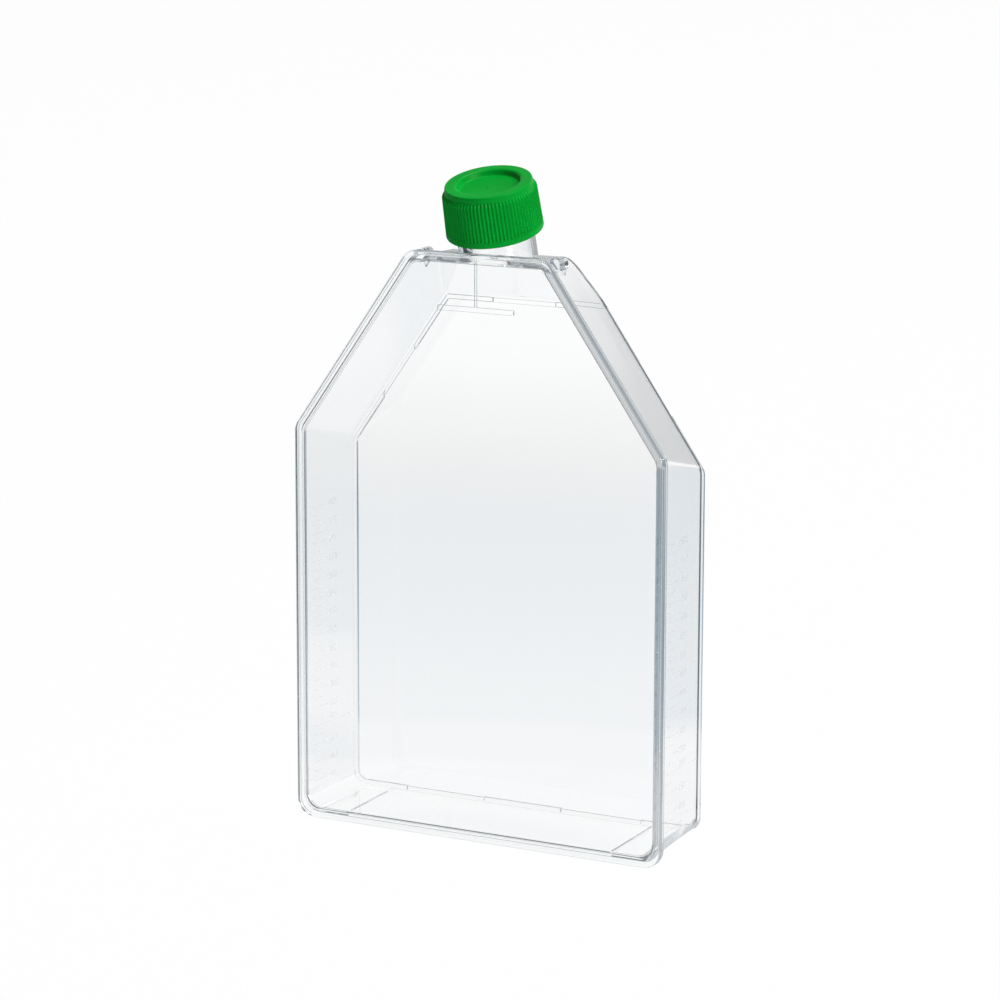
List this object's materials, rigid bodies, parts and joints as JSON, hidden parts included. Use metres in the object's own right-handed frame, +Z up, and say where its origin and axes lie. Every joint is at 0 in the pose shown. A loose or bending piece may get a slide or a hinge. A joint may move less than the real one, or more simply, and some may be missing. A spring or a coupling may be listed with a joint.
{
  "type": "cell culture flask",
  "caption": "Tall flat clear plastic flask with sloping shoulders, a canted neck, a welded cover and a ribbed screw cap.",
  "frame": {"origin": "middle of the box round the flask, at the height of the surface it stands on", "axes": "+Z up, +X to the right of the cover, -Y out of the cover's front; the flask leans back onto its feet by 4.8 degrees"},
  "size_m": [0.171, 0.0636, 0.2751],
  "materials": {
    "clear_tray": "clear moulded polystyrene, polished",
    "clear_cover": "clear moulded polystyrene, polished",
    "cap_green": "green moulded polyethylene, satin gloss"
  },
  "bodies": {
    "flask": {"tray_body": "clear_tray", "cover_plate": "clear_cover"},
    "cap": {"screw_cap": "cap_green"}
  },
  "joints": [
    {"name": "cap_lift", "type": "slide", "parent": "flask", "child": "cap", "axis": [0, -0.2029, 0.9792], "range_m": [0, 0.025]}
  ]
}
